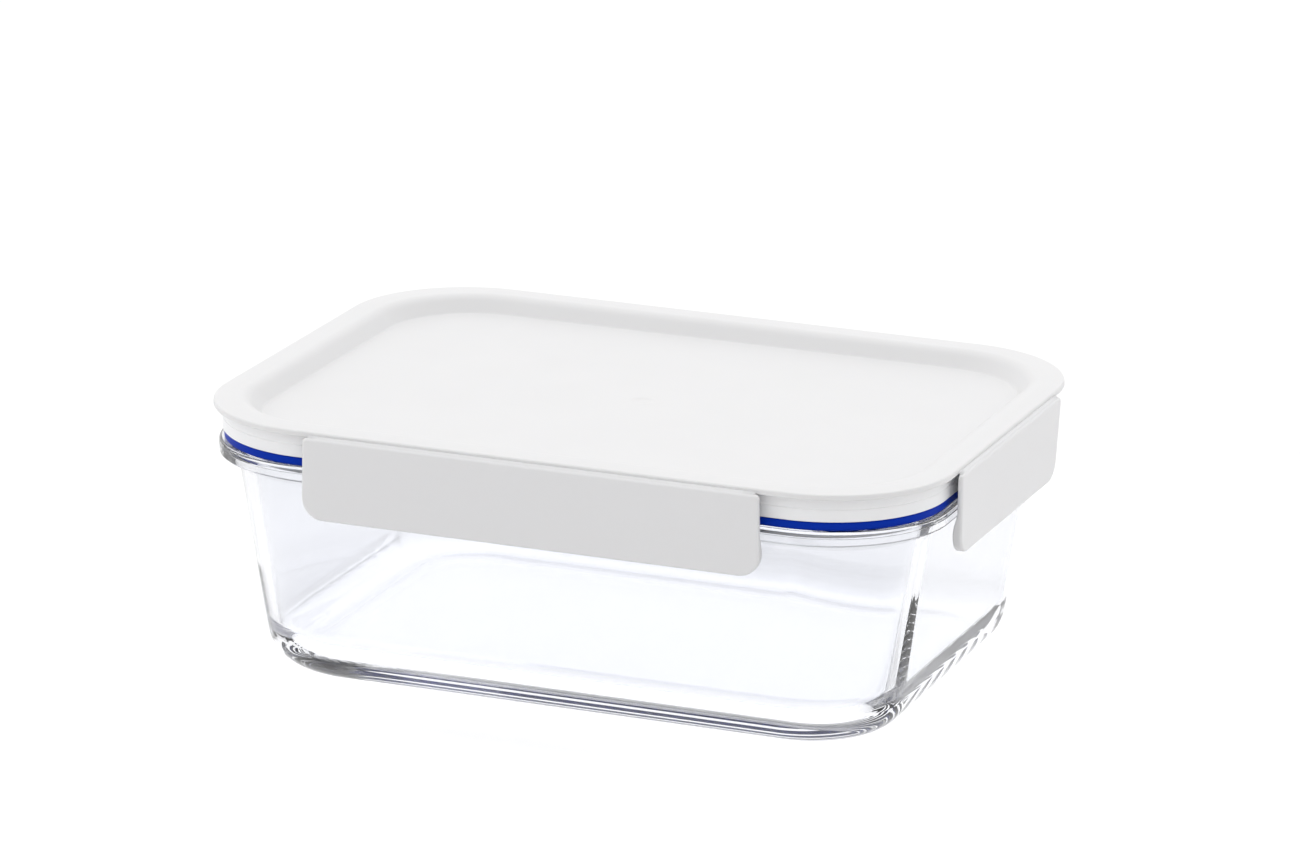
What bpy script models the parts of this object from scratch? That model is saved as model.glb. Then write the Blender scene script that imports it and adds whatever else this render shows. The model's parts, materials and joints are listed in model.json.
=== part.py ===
"""Rectangular glass storage container with a clip-on lid, four locking flaps and a silicone seal.

Metres, +Z up. The origin is the middle of the tub's foot, +X runs along the long side and -Y is the front.
Every level outline of the object is a rounded rectangle, given by its inset from the lid's own outline.
Run it with: blender --background --python part.py
"""
import math

import bmesh
import bpy

MM = 0.001

# Driving dimensions, in millimetres. Heights are above the surface that the tub stands on.
LID_LENGTH = 210.0          # along X, over the lip
LID_WIDTH = 157.5           # along Y, over the lip
LID_CORNER = 35.0           # corner radius of the lip
CORNER_LOSS = 0.78          # corner radius lost for each millimetre of inset
ARC_STEPS = 8               # straight runs in each quarter-round corner

BASE_INSET = 13.1           # tub's side just above the rounded foot edge
FOOT_ROUND = 14.0           # radius of the tub's rounded bottom edge
FOOT_RING = 9.0             # width of the flat ring that the tub stands on
FOOT_HOLLOW = 0.8           # depth of the hollow inside that ring
FLOOR_TOP = 6.0             # inside floor of the tub, so the glass is thick there
FLOOR_ROUND = 10.0          # radius between floor and inside wall
WALL = 4.0                  # thickness of the glass side
WALL_TOP_INSET = 6.4        # tub's side where it meets the rim
WALL_TOP = 58.0
RIM_INSET = 1.5             # outer edge of the rim flange
RIM_UNDER = 61.0            # underside of the rim flange at its outer edge
RIM_TOP = 64.9              # sealing face

GAP = 0.3                   # clearance between neighbouring pieces

SEAL_OUTER = 2.9            # outer edge of the silicone ring
SEAL_INNER = 9.0
SEAL_HEIGHT = 2.5           # height of the ring's pad
KEY_OUTER = 4.8             # the ring's key, which sits in the lid's channel
KEY_INNER = 7.9
KEY_HEIGHT = 2.3

LIP_LOWER = 74.0            # underside of the lip
BORDER_TOP = 75.7           # flat top of the raised border
PANEL_TOP = 71.3            # sunken middle
PANEL = 2.0                 # thickness of the sunken middle
PANEL_INSET = 12.3          # where the sunken middle meets the border's slope
SKIRT_INSET = 2.3           # outer face of the skirt below the lip
PLUG_INSET = 11.0           # rib that centres the lid in the tub's mouth
PLUG_WALL = 1.9
PLUG_BOTTOM = 61.2
GATE_RADIUS = 2.2           # moulding mark in the middle of the lid
GATE_DEPTH = 0.4

FLAP_TOP = 72.9
FLAP_BOTTOM = 51.5
FLAP_PROUD = 1.75           # outer face stands this far outside the lid's outline at its top
FLAP_LEAN = 0.6             # and comes in this much by its bottom
FLAP_THICK = 1.5
FLAP_CORNER = 6.0           # radius of the two lower corners
CATCH_REACH = 1.2           # tip of the catch rib, inside the lid's outline
CATCH_TOP = 60.8            # just under the rim flange
LONG_FLAP = (129.6, 130.6)  # length at its top and at its bottom
SHORT_FLAP = (83.0, 79.0)
HINGE_PROUD = 0.8           # hinge axis, outside the lid's outline
HINGE_HEIGHT = 73.4
FILM_THICK = 0.5
FILM_WIDTH = 1.3
FILM_MARGIN = 3.0           # the film is this much shorter than its flap at each end


def outline(inset):
    """The rounded rectangle this far inside the lid's outline, as (x, y) in millimetres."""
    half_x = LID_LENGTH / 2 - inset
    half_y = LID_WIDTH / 2 - inset
    radius = LID_CORNER - CORNER_LOSS * inset
    points = []
    for quarter in range(4):
        sign_x = 1 if quarter in (0, 3) else -1
        sign_y = 1 if quarter in (0, 1) else -1
        for step in range(ARC_STEPS + 1):
            angle = math.radians(90 * (quarter + step / ARC_STEPS))
            points.append((sign_x * (half_x - radius) + radius * math.cos(angle),
                           sign_y * (half_y - radius) + radius * math.sin(angle)))
    return points


def arc(centre_inset, centre_z, radius, start, end, steps):
    """Points (inset, z) on an arc. Angles are in degrees, 0 towards the middle and 90 upwards."""
    points = []
    for step in range(steps + 1):
        angle = math.radians(start + (end - start) * step / steps)
        points.append((centre_inset + radius * math.cos(angle), centre_z + radius * math.sin(angle)))
    return points


def finish_mesh(name, mesh_data, material, collection):
    """Turn a bmesh into a named object with outward faces and one material."""
    bmesh.ops.recalc_face_normals(mesh_data, faces=mesh_data.faces)
    mesh = bpy.data.meshes.new(name)
    mesh_data.to_mesh(mesh)
    mesh_data.free()
    mesh.materials.append(material)
    mesh.shade_smooth()
    mesh.set_sharp_from_angle(angle=math.radians(35))
    piece = bpy.data.objects.new(name, mesh)
    collection.objects.link(piece)
    return piece


def bridge(mesh_data, loops, ring_closed):
    """Join each loop of vertices to the next, and the last to the first when ring_closed."""
    pairs = list(zip(loops, loops[1:]))
    if ring_closed:
        pairs.append((loops[-1], loops[0]))
    for lower, upper in pairs:
        for index in range(len(lower)):
            after = (index + 1) % len(lower)
            mesh_data.faces.new((lower[index], lower[after], upper[after], upper[index]))
    if not ring_closed:
        mesh_data.faces.new(loops[0])
        mesh_data.faces.new(loops[-1])


def loft(name, profile, ring_closed, material, collection):
    """A solid through one outline at each (inset, z) of the profile."""
    mesh_data = bmesh.new()
    loops = []
    for inset, height in profile:
        loops.append([mesh_data.verts.new((x * MM, y * MM, height * MM)) for x, y in outline(inset)])
    bridge(mesh_data, loops, ring_closed)
    return finish_mesh(name, mesh_data, material, collection)


def make_material(name, colour, roughness, transmission=0.0):
    material = bpy.data.materials.new(name)
    material.use_nodes = True
    shader = material.node_tree.nodes["Principled BSDF"]
    shader.inputs["Base Color"].default_value = (*colour, 1.0)
    shader.inputs["Roughness"].default_value = roughness
    shader.inputs["Metallic"].default_value = 0.0
    shader.inputs["Transmission Weight"].default_value = transmission
    return material


def make_tub(material, collection):
    """Pressed glass: foot ring, thick floor, drafted sides and an outward rim flange."""
    ring_outer = BASE_INSET + FOOT_ROUND
    ring_inner = ring_outer + FOOT_RING
    wall_inside = WALL_TOP_INSET + WALL
    floor_side = BASE_INSET + WALL
    profile = [(ring_inner + 2 * FOOT_HOLLOW, FOOT_HOLLOW), (ring_inner, 0.0)]
    profile += arc(ring_outer, FOOT_ROUND, FOOT_ROUND, 270, 180, 6)
    profile += [(WALL_TOP_INSET, WALL_TOP - 1.5), (WALL_TOP_INSET - 0.3, WALL_TOP + 0.6),
                (WALL_TOP_INSET - 1.6, WALL_TOP + 2.0), (RIM_INSET + 0.7, RIM_UNDER - 0.2),
                (RIM_INSET, RIM_UNDER + 0.4), (RIM_INSET, RIM_TOP - 0.9),
                (RIM_INSET + 0.3, RIM_TOP - 0.3), (RIM_INSET + 0.9, RIM_TOP),
                (wall_inside - 1.0, RIM_TOP), (wall_inside - 0.2, RIM_TOP - 0.3),
                (wall_inside, RIM_TOP - 1.1), (wall_inside + 0.1, WALL_TOP)]
    profile += arc(floor_side + FLOOR_ROUND, FLOOR_TOP + FLOOR_ROUND, FLOOR_ROUND, 180, 270, 5)
    return loft("glass_tub", profile, False, material, collection)


def make_gasket(material, collection):
    """Silicone ring: a pad on the tub's rim, with a key that sits in the lid's channel."""
    bottom = RIM_TOP + GAP
    top = bottom + SEAL_HEIGHT
    soft = 0.45
    profile = [(SEAL_OUTER + soft, bottom), (SEAL_INNER - soft, bottom), (SEAL_INNER, bottom + soft),
               (SEAL_INNER, top - soft), (SEAL_INNER - soft, top), (KEY_INNER, top),
               (KEY_INNER, top + KEY_HEIGHT), (KEY_OUTER, top + KEY_HEIGHT), (KEY_OUTER, top),
               (SEAL_OUTER + soft, top), (SEAL_OUTER, top - soft), (SEAL_OUTER, bottom + soft)]
    return loft("gasket", profile, True, material, collection)


def make_lid(material, collection, cutters):
    """Moulded lid: sunken middle, raised soft border, lip, skirt, gasket channel and plug rib."""
    skirt_bottom = RIM_TOP + SEAL_HEIGHT + 2 * GAP
    channel_top = skirt_bottom + KEY_HEIGHT
    channel_outer = KEY_OUTER - GAP
    channel_inner = KEY_INNER + GAP
    panel_under = PANEL_TOP - PANEL
    plug_inner = PLUG_INSET + PLUG_WALL
    profile = [(PANEL_INSET + 1.0, PANEL_TOP), (PANEL_INSET - 0.2, PANEL_TOP + 0.2),
               (PANEL_INSET - 1.0, PANEL_TOP + 1.0), (PANEL_INSET - 2.8, PANEL_TOP + 2.7),
               (PANEL_INSET - 3.8, PANEL_TOP + 3.6), (PANEL_INSET - 4.8, BORDER_TOP - 0.3),
               (PANEL_INSET - 6.0, BORDER_TOP), (1.4, BORDER_TOP - 0.05), (0.5, BORDER_TOP - 0.25),
               (0.1, BORDER_TOP - 0.6), (0.0, LIP_LOWER + 0.6), (0.4, LIP_LOWER),
               (SKIRT_INSET, LIP_LOWER - 0.1), (SKIRT_INSET, skirt_bottom + 0.4),
               (SKIRT_INSET + 0.4, skirt_bottom), (channel_outer - 0.2, skirt_bottom),
               (channel_outer, channel_top), (channel_inner, channel_top),
               (channel_inner + 0.2, skirt_bottom + 0.4), (PLUG_INSET, panel_under - 1.0),
               (PLUG_INSET, PLUG_BOTTOM + 0.5), (PLUG_INSET + 0.4, PLUG_BOTTOM),
               (plug_inner - 0.4, PLUG_BOTTOM), (plug_inner, PLUG_BOTTOM + 0.5),
               (plug_inner + 0.1, panel_under - 0.7), (plug_inner + 0.8, panel_under)]
    lid = loft("lid_panel", profile, False, material, collection)

    bpy.ops.mesh.primitive_cylinder_add(vertices=20, radius=GATE_RADIUS * MM, depth=2 * GATE_DEPTH * MM,
                                        location=(0, 0, PANEL_TOP * MM))
    cutter = bpy.context.object
    cutter.name = "gate_mark_cutter"
    cutter.hide_render = True
    cutter.display_type = "WIRE"
    bpy.context.collection.objects.unlink(cutter)
    cutters.objects.link(cutter)
    cut = lid.modifiers.new("gate_mark", "BOOLEAN")
    cut.operation = "DIFFERENCE"
    cut.solver = "EXACT"
    cut.object = cutter
    return lid


def flap_section():
    """Section of a flap, as (outward, up) in millimetres from the hinge axis, round the outside."""
    lean = FLAP_LEAN / (FLAP_TOP - FLAP_BOTTOM)

    def outer(height):
        return FLAP_PROUD - lean * (FLAP_TOP - height)

    def inner(height):
        return outer(height) - FLAP_THICK

    catch = -CATCH_REACH
    points = [(inner(FLAP_TOP) + 0.2, FLAP_TOP), (outer(FLAP_TOP) - 0.5, FLAP_TOP),
              (outer(FLAP_TOP) - 0.1, FLAP_TOP - 0.4), (outer(FLAP_BOTTOM) + 0.05, FLAP_BOTTOM + 0.9),
              (outer(FLAP_BOTTOM) - 0.3, FLAP_BOTTOM + 0.2), (outer(FLAP_BOTTOM) - 0.8, FLAP_BOTTOM),
              (catch + 0.9, FLAP_BOTTOM + 0.3), (catch + 0.4, FLAP_BOTTOM + 1.3),
              (catch, CATCH_TOP - 4.0), (catch, CATCH_TOP - 1.3), (catch + 0.3, CATCH_TOP - 0.6),
              (inner(CATCH_TOP), CATCH_TOP), (inner(CATCH_TOP + 3), CATCH_TOP + 3),
              (inner(FLAP_TOP), FLAP_TOP - 0.3)]
    return [(out - HINGE_PROUD, up - HINGE_HEIGHT) for out, up in points]


def make_flap(name, lengths, material, collection):
    """A flap with rounded lower corners, lofted along its length. Local -Y is outwards."""
    section = flap_section()
    drop = max(up for _, up in section)
    height = FLAP_TOP - FLAP_BOTTOM
    half_top, half_bottom = lengths[0] / 2, lengths[1] / 2
    corner = [(FLAP_CORNER * (1 - math.cos(angle)), FLAP_CORNER * (1 - math.sin(angle)))
              for angle in (math.radians(22.5 * step) for step in range(5))]
    stations = [(-1, from_end, raised) for from_end, raised in corner]
    stations += [(1, from_end, raised) for from_end, raised in reversed(corner)]
    mesh_data = bmesh.new()
    loops = []
    for side, from_end, raised in stations:
        loop = []
        for out, up in section:
            level = (up - drop) * (1 - raised / height)
            half = half_top + (half_bottom - half_top) * -level / height
            loop.append(mesh_data.verts.new((side * (half - from_end) * MM, -out * MM, (level + drop) * MM)))
        loops.append(loop)
    bridge(mesh_data, loops, False)
    return finish_mesh(name, mesh_data, material, collection)


def make_film(name, flap_length, material, collection):
    """The thin strip of a living hinge, between the lip's underside and the top of its flap."""
    mesh_data = bmesh.new()
    bmesh.ops.create_cube(mesh_data, size=1.0)
    size = ((flap_length - 2 * FILM_MARGIN) * MM, FILM_WIDTH * MM, FILM_THICK * MM)
    bmesh.ops.scale(mesh_data, vec=size, verts=mesh_data.verts)
    centre_out = -(FILM_WIDTH / 2 - 0.2)
    centre_up = FLAP_TOP + GAP + FILM_THICK / 2 - HINGE_HEIGHT
    bmesh.ops.translate(mesh_data, vec=(0, -centre_out * MM, centre_up * MM), verts=mesh_data.verts)
    return finish_mesh(name, mesh_data, material, collection)


def make_side(side, quarter_turns, half_span, lengths, material, collection, root):
    """One flap and its hinge film, hung from an empty that lies on the hinge axis."""
    turn = math.radians(90 * quarter_turns)
    reach = (half_span + HINGE_PROUD) * MM
    hinge = bpy.data.objects.new(side + "_hinge_axis", None)
    hinge.empty_display_size = 0.01
    hinge.location = (reach * math.sin(turn), -reach * math.cos(turn), HINGE_HEIGHT * MM)
    hinge.rotation_euler = (0, 0, turn)
    hinge.parent = root
    collection.objects.link(hinge)
    flap = make_flap(side + "_flap", lengths, material, collection)
    film = make_film(side + "_hinge_film", lengths[0], material, collection)
    for piece in (flap, film):
        piece.parent = hinge


def main():
    for old in list(bpy.data.objects):
        bpy.data.objects.remove(old, do_unlink=True)
    collection = bpy.data.collections.new("glass_storage_container")
    cutters = bpy.data.collections.new("cutters")
    bpy.context.scene.collection.children.link(collection)
    bpy.context.scene.collection.children.link(cutters)

    glass = make_material("clear_glass", (0.93, 0.96, 0.97), 0.02, transmission=1.0)
    plastic = make_material("off_white_plastic", (0.86, 0.86, 0.87), 0.38)
    silicone = make_material("blue_silicone", (0.0, 0.05, 0.36), 0.45)

    root = bpy.data.objects.new("container", None)
    root.empty_display_size = 0.05
    collection.objects.link(root)
    make_tub(glass, collection).parent = root
    make_gasket(silicone, collection).parent = root
    make_lid(plastic, collection, cutters).parent = root
    for side, quarter_turns, half_span, lengths in (("front", 0, LID_WIDTH / 2, LONG_FLAP),
                                                    ("right", 1, LID_LENGTH / 2, SHORT_FLAP),
                                                    ("back", 2, LID_WIDTH / 2, LONG_FLAP),
                                                    ("left", 3, LID_LENGTH / 2, SHORT_FLAP)):
        make_side(side, quarter_turns, half_span, lengths, plastic, collection, root)


main()
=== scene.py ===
import json
import math

import bmesh
import bpy
from mathutils import Matrix, Vector


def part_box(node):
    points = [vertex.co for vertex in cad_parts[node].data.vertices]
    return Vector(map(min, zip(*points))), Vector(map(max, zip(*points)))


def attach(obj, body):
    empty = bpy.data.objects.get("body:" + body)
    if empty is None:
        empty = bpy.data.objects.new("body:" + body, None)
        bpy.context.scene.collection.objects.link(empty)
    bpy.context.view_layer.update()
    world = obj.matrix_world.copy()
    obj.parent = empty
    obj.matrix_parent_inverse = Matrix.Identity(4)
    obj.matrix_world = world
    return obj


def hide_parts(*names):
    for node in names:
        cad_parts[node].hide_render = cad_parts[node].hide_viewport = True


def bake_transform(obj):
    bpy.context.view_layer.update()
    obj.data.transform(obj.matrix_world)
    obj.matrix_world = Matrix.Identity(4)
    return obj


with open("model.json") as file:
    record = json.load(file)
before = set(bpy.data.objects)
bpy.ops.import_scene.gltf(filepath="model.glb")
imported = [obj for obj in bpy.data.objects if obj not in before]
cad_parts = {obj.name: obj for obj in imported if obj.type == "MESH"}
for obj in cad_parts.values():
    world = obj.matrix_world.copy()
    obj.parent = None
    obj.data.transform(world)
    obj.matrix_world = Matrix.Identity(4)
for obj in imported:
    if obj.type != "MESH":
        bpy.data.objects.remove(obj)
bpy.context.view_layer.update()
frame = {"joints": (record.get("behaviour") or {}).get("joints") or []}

# The looks of a glass storage container: glass tub, silicone ring, plastic lid, four flaps and
# the skins of their living hinges, on a pale floor in soft studio light.

MM = 0.001

# ---------------------------------------------------------------------------
# Where things are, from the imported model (millimetres)
# ---------------------------------------------------------------------------
lid_low, lid_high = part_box("lid_panel")
tub_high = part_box("glass_tub")[1]
HALF_X = (lid_high.x - lid_low.x) / 2 / MM      # lid's own outline, over the lip
HALF_Y = (lid_high.y - lid_low.y) / 2 / MM
LID_TOP = lid_high.z / MM                       # flat top of the raised border
RIM_TOP = tub_high.z / MM                       # sealing face of the glass
HINGES = {joint["child"]: joint for joint in frame["joints"] if joint["type"] == "hinge"}

# ---------------------------------------------------------------------------
# Shapes: every level outline is a rounded rectangle, given by its inset from the lid's outline
# ---------------------------------------------------------------------------
LID_CORNER = 35.0           # corner radius of the lid's own outline
CORNER_LOSS = 0.78          # corner radius lost for each millimetre of inset
CORNER_STEPS = 56
STRAIGHT_STEPS = 6
SLIGHT_TURN = 2.0           # degrees: a profile corner that turns less is left as it is
EDGE_SHARE = 0.49           # the most of an edge that one rounding may take


def outline(inset, rounder=0.0):
    """Points (x, y) round the rounded rectangle this far inside the lid's outline."""
    half_x, half_y = HALF_X - inset, HALF_Y - inset
    radius = LID_CORNER - CORNER_LOSS * inset + rounder
    corners = []
    for quarter in range(4):
        sign_x = 1 if quarter in (0, 3) else -1
        sign_y = 1 if quarter in (0, 1) else -1
        corner = []
        for step in range(CORNER_STEPS + 1):
            angle = math.radians(90 * (quarter + step / CORNER_STEPS))
            corner.append((sign_x * (half_x - radius) + radius * math.cos(angle),
                           sign_y * (half_y - radius) + radius * math.sin(angle)))
        corners.append(corner)
    points = []
    for quarter in range(4):
        points += corners[quarter]
        (x0, y0), (x1, y1) = corners[quarter][-1], corners[(quarter + 1) % 4][0]
        for step in range(1, STRAIGHT_STEPS):
            t = step / STRAIGHT_STEPS
            points.append((x0 + (x1 - x0) * t, y0 + (y1 - y0) * t))
    return points


def fillet(corners, closed=False, step_angle=12.0):
    """Polyline through corners (a, b, radius), each rounded to its radius."""
    points = []
    count = len(corners)
    for index, (a, b, radius) in enumerate(corners):
        here = Vector((a, b))
        if radius <= 0 or (not closed and index in (0, count - 1)):
            points.append((a, b))
            continue
        before = Vector(corners[index - 1][:2]) - here
        after = Vector(corners[(index + 1) % count][:2]) - here
        opening = before.angle(after)
        turn = math.pi - opening
        if turn < math.radians(SLIGHT_TURN):
            points.append((a, b))
            continue
        reach = radius * math.tan(turn / 2)
        reach = min(reach, before.length * EDGE_SHARE, after.length * EDGE_SHARE)
        radius = reach / math.tan(turn / 2)
        start, end = before.normalized() * reach, after.normalized() * reach
        centre = (start + end).normalized() * (radius / math.sin(opening / 2))
        steps = max(2, math.ceil(math.degrees(turn) / step_angle))
        first, last = start - centre, end - centre
        for step in range(steps + 1):
            t = step / steps
            weight_a = math.sin((1 - t) * turn) / math.sin(turn)
            weight_b = math.sin(t * turn) / math.sin(turn)
            point = here + centre + first * weight_a + last * weight_b
            points.append((point.x, point.y))
    return points


def ease(value, low, high):
    """0 at low and 1 at high, with a smooth start and end. low may be the larger."""
    t = min(1.0, max(0.0, (value - low) / (high - low)))
    return t * t * (3 - 2 * t)


def new_piece(name, mesh_data, material, smooth_weight=True):
    bmesh.ops.recalc_face_normals(mesh_data, faces=mesh_data.faces)
    mesh = bpy.data.meshes.new(name)
    mesh_data.to_mesh(mesh)
    mesh_data.free()
    mesh.materials.append(material)
    mesh.shade_smooth()
    piece = bpy.data.objects.new(name, mesh)
    bpy.context.scene.collection.objects.link(piece)
    if smooth_weight:
        weighted = piece.modifiers.new("weighted_normals", "WEIGHTED_NORMAL")
        weighted.mode = "FACE_AREA"
        weighted.weight = 50
    return piece


def add_loop(mesh_data, inset, height, rounder=0.0):
    return [mesh_data.verts.new((x * MM, y * MM, height * MM))
            for x, y in outline(inset, rounder)]


def join_loops(mesh_data, lower, upper):
    count = len(lower)
    for index in range(count):
        after = (index + 1) % count
        mesh_data.faces.new((lower[index], lower[after], upper[after], upper[index]))


def cap_with_rings(mesh_data, loop, rings):
    """Close a loop with circles of as many points: rings is [(radius, height)], outside first."""
    last = loop
    for radius, level in rings:
        ring = []
        for vert in loop:
            angle = math.atan2(vert.co.y / HALF_Y, vert.co.x / HALF_X)
            ring.append(mesh_data.verts.new((radius * MM * math.cos(angle),
                                             radius * MM * math.sin(angle), level * MM)))
        join_loops(mesh_data, last, ring)
        last = ring
    mesh_data.faces.new(last)


def loft(name, profile, material, start_rings=None, end_rings=None):
    """Skin over level outlines. With rings its ends are capped, and without them they join."""
    mesh_data = bmesh.new()
    loops = [add_loop(mesh_data, *point) for point in profile]
    for lower, upper in zip(loops, loops[1:]):
        join_loops(mesh_data, lower, upper)
    if start_rings is None:
        join_loops(mesh_data, loops[-1], loops[0])
    else:
        cap_with_rings(mesh_data, loops[0], start_rings)
        cap_with_rings(mesh_data, loops[-1], end_rings)
    return new_piece(name, mesh_data, material)


# ---------------------------------------------------------------------------
# Materials
# ---------------------------------------------------------------------------
class Graph:
    """Small helper that adds nodes to a tree and returns their outputs."""

    def __init__(self, tree):
        self.tree = tree

    def node(self, kind, inputs=None, **settings):
        node = self.tree.nodes.new(kind)
        for key, value in settings.items():
            setattr(node, key, value)
        for key, value in (inputs or {}).items():
            self.put(node.inputs[key], value)
        return node

    def put(self, socket, value):
        if isinstance(value, bpy.types.NodeSocket):
            self.tree.links.new(value, socket)
        else:
            socket.default_value = value

    def math(self, operation, *values):
        node = self.node("ShaderNodeMath", operation=operation)
        for socket, value in zip(node.inputs, values):
            self.put(socket, value)
        return node.outputs[0]

    def noise(self, vector, scale, detail=2.0, roughness=0.5):
        node = self.node("ShaderNodeTexNoise",
                         {"Vector": vector, "Scale": scale, "Detail": detail,
                          "Roughness": roughness})
        return node.outputs["Fac"]

    def span(self, value, from_min, from_max, to_min, to_max, kind="LINEAR"):
        node = self.node("ShaderNodeMapRange", interpolation_type=kind)
        for socket, number in zip(node.inputs, (value, from_min, from_max, to_min, to_max)):
            self.put(socket, number)
        return node.outputs["Result"]

    def blend_colour(self, factor, first, second):
        node = self.node("ShaderNodeMix", data_type="RGBA")
        self.put(node.inputs[0], factor)
        for socket, colour in ((node.inputs[6], first), (node.inputs[7], second)):
            self.put(socket, (*colour, 1.0) if isinstance(colour, tuple) else colour)
        return node.outputs[2]

    def bump(self, height, strength, distance, normal=None):
        node = self.node("ShaderNodeBump",
                         {"Height": height, "Strength": strength, "Distance": distance})
        if normal is not None:
            self.put(node.inputs["Normal"], normal)
        return node.outputs["Normal"]


def new_material(name):
    material = bpy.data.materials.new(name)
    material.use_nodes = True
    graph = Graph(material.node_tree)
    shader = material.node_tree.nodes["Principled BSDF"]
    place = graph.node("ShaderNodeTexCoord").outputs["Object"]
    return material, graph, shader, place


def away_from_core(graph, place, corner):
    """Distance from the rectangle whose corners are the centres of the outline's corner arcs."""
    parts = graph.node("ShaderNodeSeparateXYZ", {"Vector": place}).outputs
    across = []
    for axis, half in (("X", HALF_X), ("Y", HALF_Y)):
        beyond = graph.math("SUBTRACT", graph.math("ABSOLUTE", parts[axis]), (half - corner) * MM)
        across.append(graph.math("MAXIMUM", beyond, 0.0))
    return graph.math("SQRT", graph.math("ADD", graph.math("MULTIPLY", across[0], across[0]),
                                         graph.math("MULTIPLY", across[1], across[1])))


PAINTED_LIGHT_BELOW = 73.9           # under this height the lid's thin outer wall is painted lighter: painted light that lifts the lip's shade
PAINTED_LIGHT_FADE = (0.3, 0.1)      # the painted light fades in from this far below it to this far above
PAINTED_LIGHT_FROM = (0.0300, 0.0310)    # metres from the outline's core at which the outer wall, and its painted light, starts


def make_plastic(name, light, dark, roughness, thin=None):
    """Satin polypropylene: even colour, very fine spark-eroded grain, a little light let through.

    thin is a lighter colour for the lid's thin outer wall under the lip: painted light standing in
    for the light that the lip's shade takes away.
    """
    material, graph, shader, place = new_material(name)
    cloud = graph.noise(place, 22.0, 3.0)
    shader.inputs["Metallic"].default_value = 0.0
    colour = graph.blend_colour(cloud, light, dark)
    # painted light: the skirt under the lip gets the lighter thin colour, lifting the lip's shade
    # on it
    if thin:
        height = graph.node("ShaderNodeSeparateXYZ", {"Vector": place}).outputs["Z"]
        below = graph.span(height, (PAINTED_LIGHT_BELOW - PAINTED_LIGHT_FADE[0]) * MM,
                           (PAINTED_LIGHT_BELOW + PAINTED_LIGHT_FADE[1]) * MM, 1.0, 0.0)
        outer = graph.span(away_from_core(graph, place, LID_CORNER), *PAINTED_LIGHT_FROM, 0.0, 1.0)
        colour = graph.blend_colour(graph.math("MULTIPLY", below, outer), colour, thin)
    graph.put(shader.inputs["Base Color"], colour)
    patch = graph.noise(place, 60.0, 2.0)
    graph.put(shader.inputs["Roughness"],
              graph.span(patch, 0.3, 0.7, roughness - 0.03, roughness + 0.03))
    grain = graph.noise(place, 2600.0, 2.0, 0.6)
    ripple = graph.noise(place, 35.0, 1.0)
    soft = graph.bump(ripple, 0.35, 0.0002)
    graph.put(shader.inputs["Normal"], graph.bump(grain, 0.12, 0.00006, soft))
    shader.inputs["Specular IOR Level"].default_value = 0.45
    shader.inputs["Subsurface Weight"].default_value = 0.12
    shader.inputs["Subsurface Radius"].default_value = (1.0, 0.9, 0.8)
    shader.inputs["Subsurface Scale"].default_value = 0.002
    return material


def make_silicone(name):
    material, graph, shader, place = new_material(name)
    cloud = graph.noise(place, 45.0, 3.0)
    graph.put(shader.inputs["Base Color"],
              graph.blend_colour(cloud, (0.0, 0.030, 0.40), (0.0, 0.025, 0.35)))
    grain = graph.noise(place, 1900.0, 2.0)
    graph.put(shader.inputs["Roughness"], graph.span(grain, 0.3, 0.7, 0.36, 0.44))
    graph.put(shader.inputs["Normal"], graph.bump(grain, 0.15, 0.00005))
    shader.inputs["Specular IOR Level"].default_value = 0.06
    return material


def make_glass(name):
    """Pressed soda-lime glass: clear, with the slight waviness of a moulded surface."""
    material, graph, shader, place = new_material(name)
    tint = graph.noise(place, 12.0, 1.0)
    graph.put(shader.inputs["Base Color"],
              graph.blend_colour(tint, (0.870, 0.877, 0.902), (0.862, 0.870, 0.896)))
    shader.inputs["Roughness"].default_value = 0.0
    shader.inputs["IOR"].default_value = 1.5
    shader.inputs["Transmission Weight"].default_value = 1.0
    wave = graph.noise(place, 30.0, 1.0)
    graph.put(shader.inputs["Normal"], graph.bump(wave, 0.02, 0.0004))
    return material


# the lid's thin colour is painted light on the skirt under the lip
lid_plastic = make_plastic("satin_white_lid", (0.730, 0.727, 0.732), (0.712, 0.710, 0.716),
                           0.36, thin=(0.86, 0.86, 0.87))
# the flaps are the same polypropylene as the lid; their copy is painted a little lighter, painted
# light for the dimmer light that falls on their faces
flap_plastic = make_plastic("satin_white_flap", (0.745, 0.742, 0.750), (0.728, 0.726, 0.735),
                            0.34)
silicone = make_silicone("blue_silicone_rubber")
glass = make_glass("pressed_clear_glass")

# ---------------------------------------------------------------------------
# Tub
# ---------------------------------------------------------------------------
RIM_INSET = 1.5
PARTING = 63.25             # height of the mould line round the rim
PARTING_HALF = 0.16         # half the height of that line's ridge
PARTING_PROUD = 0.09
TUB_FLOOR = 6.0
INNER_ROUND = -2.2          # the inside corners turn a little tighter than the outside
INNER_FADE = 12.0           # and reach that this far below the rim
FOOT_ROUNDER = 2.0          # all corners turn wider towards the foot
FOOT_FADE = 20.0            # starting at this height
CAP_RADIUS = 14.0           # circle that closes a flat end
TUB_OUTSIDE = [
    (38.0, 0.0, 0), (15.0, 0.0, 11.0),                      # foot and rounded edge
    (6.1, 60.1, 1.8), (4.0, 60.85, 0.8),                    # drafted side
    (RIM_INSET, 61.0, 0.35),                                # rim flange, with its mould line
    (RIM_INSET, PARTING - PARTING_HALF, 0.05), (RIM_INSET - PARTING_PROUD, PARTING, 0.05),
    (RIM_INSET, PARTING + PARTING_HALF, 0.05), (RIM_INSET, RIM_TOP, 0.8), (6.0, RIM_TOP, 0),
]
TUB_INSIDE = [
    (6.5, RIM_TOP, 0), (10.3, RIM_TOP, 1.2), (10.9, 58.0, 12.0),    # sealing face and mouth
    (18.5, TUB_FLOOR, 10.5), (40.0, TUB_FLOOR, 0),                  # inside wall and floor
]


def foot_rounder(height):
    return FOOT_ROUNDER * ease(height, FOOT_FADE, 0.0)


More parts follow.
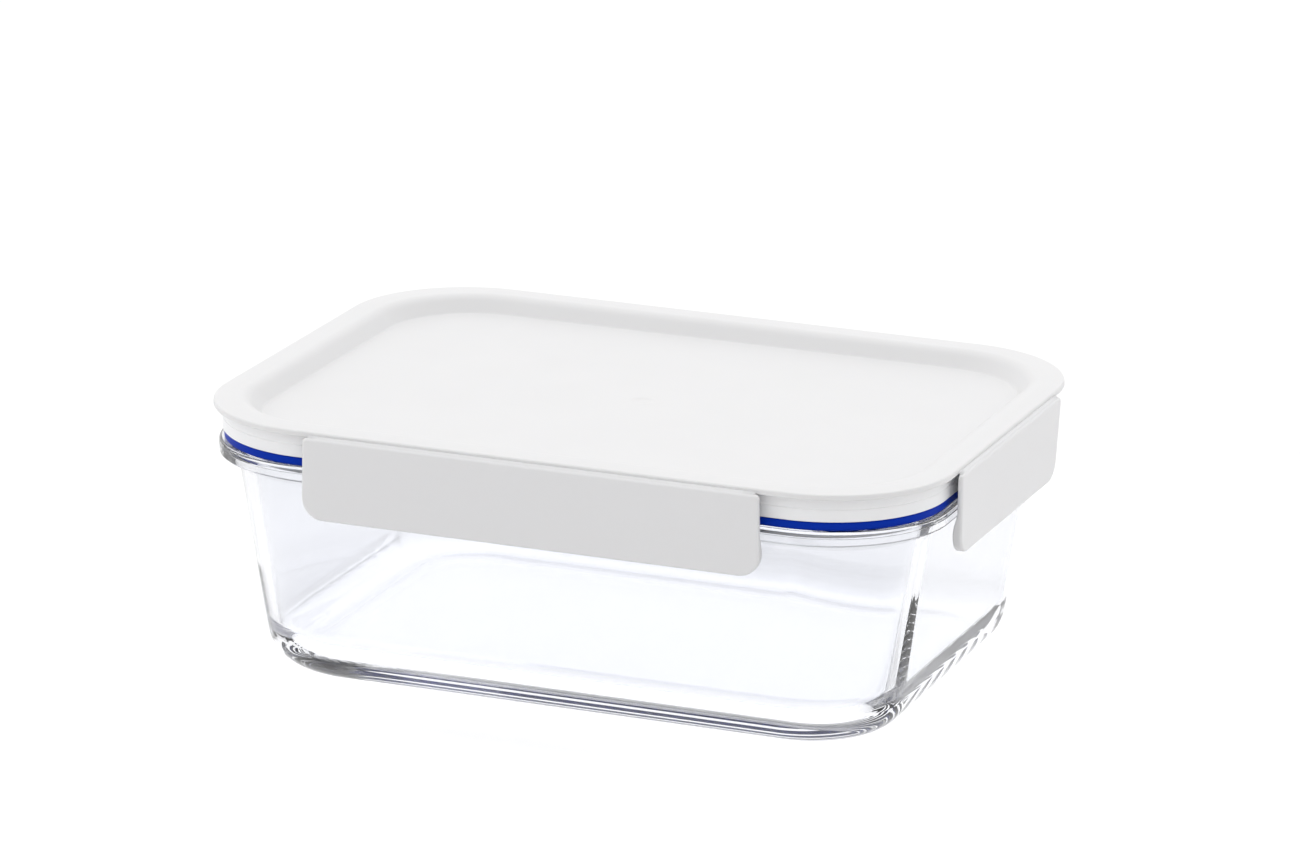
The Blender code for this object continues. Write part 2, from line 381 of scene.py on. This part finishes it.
tub_profile = [(inset, height, foot_rounder(height))
               for inset, height in fillet(TUB_OUTSIDE, step_angle=4)]
tub_profile += [(inset, height, INNER_ROUND * ease(height, RIM_TOP, RIM_TOP - INNER_FADE)
                 + foot_rounder(height))
                for inset, height in fillet(TUB_INSIDE, step_angle=4)]
tub = loft("tub_glass_shell", tub_profile, glass,
           start_rings=[(CAP_RADIUS, 0.0)], end_rings=[(CAP_RADIUS, TUB_FLOOR)])
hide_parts("glass_tub")
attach(tub, "tub")

# ---------------------------------------------------------------------------
# Silicone ring
# ---------------------------------------------------------------------------
SKIRT_BOTTOM = RIM_TOP + 2.5
SEAL_OUTER, SEAL_INNER = 2.75, 9.0      # the ring's pad, between glass rim and lid
KEY_OUTER, KEY_INNER = 4.8, 7.9         # its key, in the lid's channel
PAD_LOW, PAD_HIGH = RIM_TOP + 0.04, SKIRT_BOTTOM - 0.1
PAD_OUTER_HIGH = SKIRT_BOTTOM - 0.06
KEY_TOP = SKIRT_BOTTOM + 2.2
SEAL_SECTION = [
    (SEAL_OUTER, PAD_LOW, 0.5), (SEAL_INNER, PAD_LOW, 0.5), (SEAL_INNER, PAD_HIGH, 0.5),
    (KEY_INNER, PAD_HIGH, 0.1), (KEY_INNER, KEY_TOP, 0.3), (KEY_OUTER, KEY_TOP, 0.3),
    (KEY_OUTER, PAD_OUTER_HIGH, 0.1), (SEAL_OUTER, PAD_OUTER_HIGH, 0.5),
]
seal = loft("seal_ring", fillet(SEAL_SECTION, closed=True, step_angle=15), silicone)
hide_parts("gasket")
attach(seal, "lid")

# ---------------------------------------------------------------------------
# Lid
# ---------------------------------------------------------------------------
PANEL_TOP = 71.3            # sunken middle of the lid
PANEL_UNDER = 69.3
LIP_LOWER = 74.0
SKIRT_INSET = 2.3
GROOVE_INSET = 2.42         # fine line moulded round the skirt
CHANNEL_TOP = SKIRT_BOTTOM + 2.4    # the channel that takes the silicone ring's key
PLUG_STEP = SKIRT_BOTTOM + 0.3
PLUG_BOTTOM = 61.2          # the rib that centres the lid in the tub's mouth
# shallow dimple in the middle of the panel: (radius, height)
DIMPLE = [(5.5, PANEL_TOP), (3.6, PANEL_TOP), (3.0, PANEL_TOP - 0.05), (2.5, PANEL_TOP - 0.2),
          (1.8, PANEL_TOP - 0.28), (0.5, PANEL_TOP - 0.3)]
LID_PROFILE = [
    (18.0, PANEL_TOP, 0), (12.3, PANEL_TOP, 0.9),                   # panel
    (8.4, LID_TOP - 0.05, 4.5), (4.4, LID_TOP, 6.0),                # slope and flat border
    (0.15, LID_TOP - 0.12, 0.55), (0.0, LIP_LOWER, 0.35),           # lip
    (SKIRT_INSET, LIP_LOWER - 0.1, 0.3),
    (SKIRT_INSET, 71.25, 0.05), (GROOVE_INSET, 71.1, 0.05),         # skirt and its fine line
    (GROOVE_INSET, 70.85, 0.05), (SKIRT_INSET, 70.7, 0.05), (SKIRT_INSET, SKIRT_BOTTOM, 0.4),
    (4.5, SKIRT_BOTTOM, 0.15), (4.5, CHANNEL_TOP, 0.2),             # channel
    (8.2, CHANNEL_TOP, 0.2), (8.3, PLUG_STEP, 0.2),
    (11.0, PLUG_STEP, 0.3), (11.0, PLUG_BOTTOM, 0.5),               # plug rib and underside
    (12.9, PLUG_BOTTOM, 0.5), (13.1, PANEL_UNDER, 0.8), (18.0, PANEL_UNDER, 0),
]
lid = loft("lid_shell", fillet(LID_PROFILE, step_angle=6), lid_plastic,
           start_rings=DIMPLE, end_rings=[(CAP_RADIUS, PANEL_UNDER)])
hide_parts("lid_panel")
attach(lid, "lid")

# ---------------------------------------------------------------------------
# Flaps and their hinge skins, built round the hinge axis: local -Y is outwards
# ---------------------------------------------------------------------------
FLAP_TOP = 74.2
FLAP_BOTTOM = 51.5
FLAP_PROUD = 1.75          # outer face at the top, outside the lid's outline
FLAP_LEAN = 0.6            # the face comes in this much by the bottom
FLAP_THICK = 1.45
CATCH_THICK = 1.2          # the lower part is this much thicker, for its catch
CATCH_START = 64.0         # the thickening starts at this height
CATCH_FULL = 57.5          # and is complete at this one
FACE_ROUND = 0.75
REAR_ROUND = 0.4
LOWER_CORNER = 6.0         # radius of the flap's lower corners, seen from outside
UPPER_CORNER = 1.1
UPPER_CORNER_LOSS = 0.6    # upper corner radius lost for each millimetre of inset
LOWER_STEPS = 16
SIDE_STEPS = 14
UPPER_STEPS = 8
EDGE_STEPS = 6
SKIN_PATH = [(-0.7, 74.5, 0), (0.45, 74.42, 0.8), (1.0, 74.0, 0.8), (1.0, 73.2, 0)]
SKIN_HALF_THICK = 0.22
SKIN_STATIONS = 24
SKIN_SHORTER = 1.3         # the skin stops this far from each end of the flap's top


def flap_ring(half_top, half_bottom, inset, depth, axis_out, axis_height):
    """Points round a flap, inset from its outline: up the right side, then down the left.

    depth gives how far behind the face a point lies, from the flap's thickness there.
    """
    lower, upper = LOWER_CORNER - inset, UPPER_CORNER - UPPER_CORNER_LOSS * inset
    top, bottom = FLAP_TOP - inset, FLAP_BOTTOM + inset
    slope = (half_bottom - half_top) / (FLAP_TOP - FLAP_BOTTOM)

    def half_width(height):
        return half_top + slope * (FLAP_TOP - height) - inset

    side = []
    for step in range(LOWER_STEPS + 1):
        angle = math.radians(90 * step / LOWER_STEPS)
        side.append((half_width(bottom + lower) - lower + lower * math.sin(angle),
                     bottom + lower - lower * math.cos(angle)))
    for step in range(1, SIDE_STEPS):
        height = bottom + lower + (top - upper - bottom - lower) * step / SIDE_STEPS
        side.append((half_width(height), height))
    for step in range(UPPER_STEPS + 1):
        angle = math.radians(90 * step / UPPER_STEPS)
        side.append((half_width(top - upper) - upper + upper * math.cos(angle),
                     top - upper + upper * math.sin(angle)))
    ring = []
    for x, height in side + [(-x, height) for x, height in reversed(side)]:
        face = FLAP_PROUD - FLAP_LEAN * (FLAP_TOP - height) / (FLAP_TOP - FLAP_BOTTOM)
        thick = FLAP_THICK + CATCH_THICK * ease(height, CATCH_START, CATCH_FULL)
        out = face - depth(thick)
        ring.append((x * MM, -(out - axis_out) * MM, (height - axis_height) * MM))
    return ring


def make_flap(name, half_top, half_bottom, axis_out, axis_height):
    """A plate with rounded edges: rings run from the face, over the edge, to the back."""
    angles = [math.radians(90 * step / EDGE_STEPS) for step in range(EDGE_STEPS + 1)]
    stages = []
    for angle in angles:
        stages.append((FACE_ROUND * (1 - math.sin(angle)),
                       lambda thick, angle=angle: FACE_ROUND * (1 - math.cos(angle))))
    for angle in angles:
        stages.append((REAR_ROUND * (1 - math.cos(angle)),
                       lambda thick, angle=angle: thick - REAR_ROUND * (1 - math.sin(angle))))
    mesh_data = bmesh.new()
    loops = []
    for inset, depth in stages:
        ring = flap_ring(half_top, half_bottom, inset, depth, axis_out, axis_height)
        loops.append([mesh_data.verts.new(point) for point in ring])
    for lower, upper in zip(loops, loops[1:]):
        join_loops(mesh_data, lower, upper)
    for loop in (loops[0], loops[-1]):
        count = len(loop)
        for index in range(count // 2 - 1):
            mesh_data.faces.new((loop[index], loop[index + 1],
                                 loop[count - 2 - index], loop[count - 1 - index]))
    return new_piece(name, mesh_data, flap_plastic)


def make_skin(name, half_length, axis_out, axis_height):
    """Living hinge: a thin skin from under the lip, out and down into the top of the flap."""
    path = fillet(SKIN_PATH, step_angle=8)
    sides = []
    for index, point in enumerate(path):
        before = Vector(path[max(index - 1, 0)])
        after = Vector(path[min(index + 1, len(path) - 1)])
        along = (after - before).normalized()
        across = Vector((-along.y, along.x)) * SKIN_HALF_THICK
        sides.append((Vector(point) + across, Vector(point) - across))
    section = [pair[0] for pair in sides] + [pair[1] for pair in reversed(sides)]
    mesh_data = bmesh.new()
    loops = []
    for step in range(SKIN_STATIONS + 1):
        x = half_length * (2 * step / SKIN_STATIONS - 1)
        loops.append([mesh_data.verts.new((x * MM, -(point.x - axis_out) * MM,
                                           (point.y - axis_height) * MM)) for point in section])
    for lower, upper in zip(loops, loops[1:]):
        join_loops(mesh_data, lower, upper)
    mesh_data.faces.new(loops[0])
    mesh_data.faces.new(loops[-1])
    return new_piece(name, mesh_data, flap_plastic)


# each side: quarter turns from the front, the lid's half size that way, the flap's half length
# at its top and at its bottom, and how far it sits along the side
SIDES = {
    "front": (0, HALF_Y, 64.8, 65.3, -0.9),
    "right": (1, HALF_X, 41.5, 39.5, 0.0),
    "back": (2, HALF_Y, 64.8, 65.3, 0.0),
    "left": (3, HALF_X, 41.5, 39.5, 0.0),
}
for side, (turns, reach, half_top, half_bottom, shift) in SIDES.items():
    body = side + "_flap"
    axis = Vector(HINGES[body]["pos_m"])
    axis_out = math.hypot(axis.x, axis.y) / MM - reach
    axis_height = axis.z / MM
    place = (Matrix.Translation(axis) @ Matrix.Rotation(math.radians(90 * turns), 4, "Z")
             @ Matrix.Translation((shift * MM, 0, 0)))
    flap = make_flap(side + "_flap_shell", half_top, half_bottom, axis_out, axis_height)
    flap.matrix_world = place
    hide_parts(body)
    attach(flap, body)
    skin = make_skin(side + "_hinge_skin", half_top - SKIN_SHORTER, axis_out, axis_height)
    skin.matrix_world = place
    bpy.context.view_layer.update()
    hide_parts(side + "_hinge_film")
    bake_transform(skin)

# ---------------------------------------------------------------------------
# Floor, light and camera
# ---------------------------------------------------------------------------
FLOOR_REACH = 40.0          # metres
FLOOR_DROP = 0.0002         # metres below the tub's foot
FOOT_CORNER = 40.0
GLOW_UNDER = 1.15           # strength of the floor's glow under the tub
GLOW_NEAR = 0.32            # and just beside it
NEAR_FADE = (0.005, 0.05)   # metres from the outline's core
WIDE_FADE = (0.02, 0.22)
CAMERA_AZIMUTH = 21.173     # degrees, from the front towards the right
CAMERA_ELEVATION = 16.298
CAMERA_ROLL = -0.8757
CAMERA_DISTANCE = 1.89547   # metres
CAMERA_RIGHT = 0.00225
CAMERA_UP = 0.05951
CAMERA_LENS = 190.18        # millimetres, for a 36 mm sensor
DIM_WITHIN = 70             # degrees from the camera's side: dim inside this, bright past the next
BRIGHT_PAST = 125
STRIP_SOFT = 3              # degrees of soft edge
# each strip box: azimuth from the camera and half width in degrees, lowest and highest sine of
# elevation, strength
STRIPS = [(-76.0, 16.0, 0.03, 0.6, 1.2), (74.0, 13.0, 0.03, 0.6, 0.75)]


def make_floor():
    mesh_data = bmesh.new()
    bmesh.ops.create_grid(mesh_data, x_segments=8, y_segments=8, size=FLOOR_REACH)
    material, graph, shader, place = new_material("pale_studio_floor")
    soft = graph.noise(place, 3.0, 2.0)
    graph.put(shader.inputs["Base Color"],
              graph.blend_colour(soft, (0.90, 0.90, 0.90), (0.89, 0.89, 0.89)))
    shader.inputs["Roughness"].default_value = 0.8
    shader.inputs["Specular IOR Level"].default_value = 0.0
    # painted light: the floor glows where the container shades it, under and beside the tub,
    # filling in its shadow; diffuse rays don't see the glow, so it lights nothing
    away = away_from_core(graph, place, FOOT_CORNER)
    near = graph.span(away, *NEAR_FADE, GLOW_UNDER - GLOW_NEAR, 0.0, "SMOOTHSTEP")
    wide = graph.span(away, *WIDE_FADE, GLOW_NEAR, 0.0, "SMOOTHSTEP")
    shader.inputs["Emission Color"].default_value = (1.0, 1.0, 1.0, 1.0)
    diffuse = graph.node("ShaderNodeLightPath").outputs["Is Diffuse Ray"]
    seen = graph.math("SUBTRACT", 1.0, diffuse)
    graph.put(shader.inputs["Emission Strength"],
              graph.math("MULTIPLY", seen, graph.math("ADD", near, wide)))
    floor = new_piece("studio_floor", mesh_data, material, smooth_weight=False)
    floor.location.z = -FLOOR_DROP


def make_light():
    """Soft white studio: bright above and behind, dimmer at the camera's side, two strip boxes."""
    world = bpy.data.worlds.new("soft_studio")
    bpy.context.scene.world = world
    world.use_nodes = True
    graph = Graph(world.node_tree)
    background = world.node_tree.nodes["Background"]
    direction = graph.node("ShaderNodeTexCoord").outputs["Generated"]
    parts = graph.node("ShaderNodeSeparateXYZ", {"Vector": direction}).outputs
    around = graph.math("ARCTAN2", parts["X"], graph.math("MULTIPLY", parts["Y"], -1.0))
    around = graph.math("SUBTRACT", around, math.radians(CAMERA_AZIMUTH))
    around = graph.math("WRAP", around, math.pi, -math.pi)
    size = graph.math("ABSOLUTE", around)
    height = parts["Z"]
    front = graph.span(height, 0.0, 0.8, 0.14, 1.25, "SMOOTHSTEP")
    back = graph.span(height, 0.0, 0.5, 1.0, 1.22, "SMOOTHSTEP")
    share = graph.span(size, math.radians(DIM_WITHIN), math.radians(BRIGHT_PAST), 0.0, 1.0,
                       "SMOOTHSTEP")
    level = graph.math("ADD", graph.math("MULTIPLY", front, graph.math("SUBTRACT", 1.0, share)),
                       graph.math("MULTIPLY", back, share))
    for centre, half_width, low, high, strength in STRIPS:
        off = graph.math("ABSOLUTE", graph.math("SUBTRACT", around, math.radians(centre)))
        across = graph.span(off, math.radians(half_width - STRIP_SOFT),
                            math.radians(half_width + STRIP_SOFT), 1.0, 0.0, "SMOOTHSTEP")
        above = graph.span(height, low - 0.03, low + 0.03, 0.0, 1.0, "SMOOTHSTEP")
        below = graph.span(height, high - 0.05, high + 0.05, 1.0, 0.0, "SMOOTHSTEP")
        mask = graph.math("MULTIPLY", across, graph.math("MULTIPLY", above, below))
        level = graph.math("ADD", level, graph.math("MULTIPLY", mask, strength))
    graph.put(background.inputs["Strength"], level)
    background.inputs["Color"].default_value = (1.0, 1.0, 1.0, 1.0)


def make_camera():
    azimuth, elevation, roll = (math.radians(angle) for angle in
                                (CAMERA_AZIMUTH, CAMERA_ELEVATION, CAMERA_ROLL))
    back = Vector((math.sin(azimuth) * math.cos(elevation),
                   -math.cos(azimuth) * math.cos(elevation), math.sin(elevation)))
    right = Vector((math.cos(azimuth), math.sin(azimuth), 0.0))
    up = back.cross(right)
    place = back * CAMERA_DISTANCE + right * CAMERA_RIGHT + up * CAMERA_UP
    turned_right = right * math.cos(roll) - up * math.sin(roll)
    turned_up = right * math.sin(roll) + up * math.cos(roll)
    camera = bpy.data.objects.new("camera", bpy.data.cameras.new("camera"))
    bpy.context.scene.collection.objects.link(camera)
    camera.data.sensor_width = 36.0
    camera.data.lens = CAMERA_LENS
    camera.data.clip_end = 200.0
    turn = Matrix((turned_right, turned_up, back)).transposed().to_4x4()
    camera.matrix_world = Matrix.Translation(place) @ turn
    bpy.context.scene.camera = camera


make_floor()
make_light()
make_camera()
scene = bpy.context.scene
scene.view_settings.view_transform = "Standard"
scene.cycles.max_bounces = 32           # light runs a long way inside thick glass
scene.cycles.glossy_bounces = 24
scene.cycles.transmission_bounces = 24

bpy.context.view_layer.update()
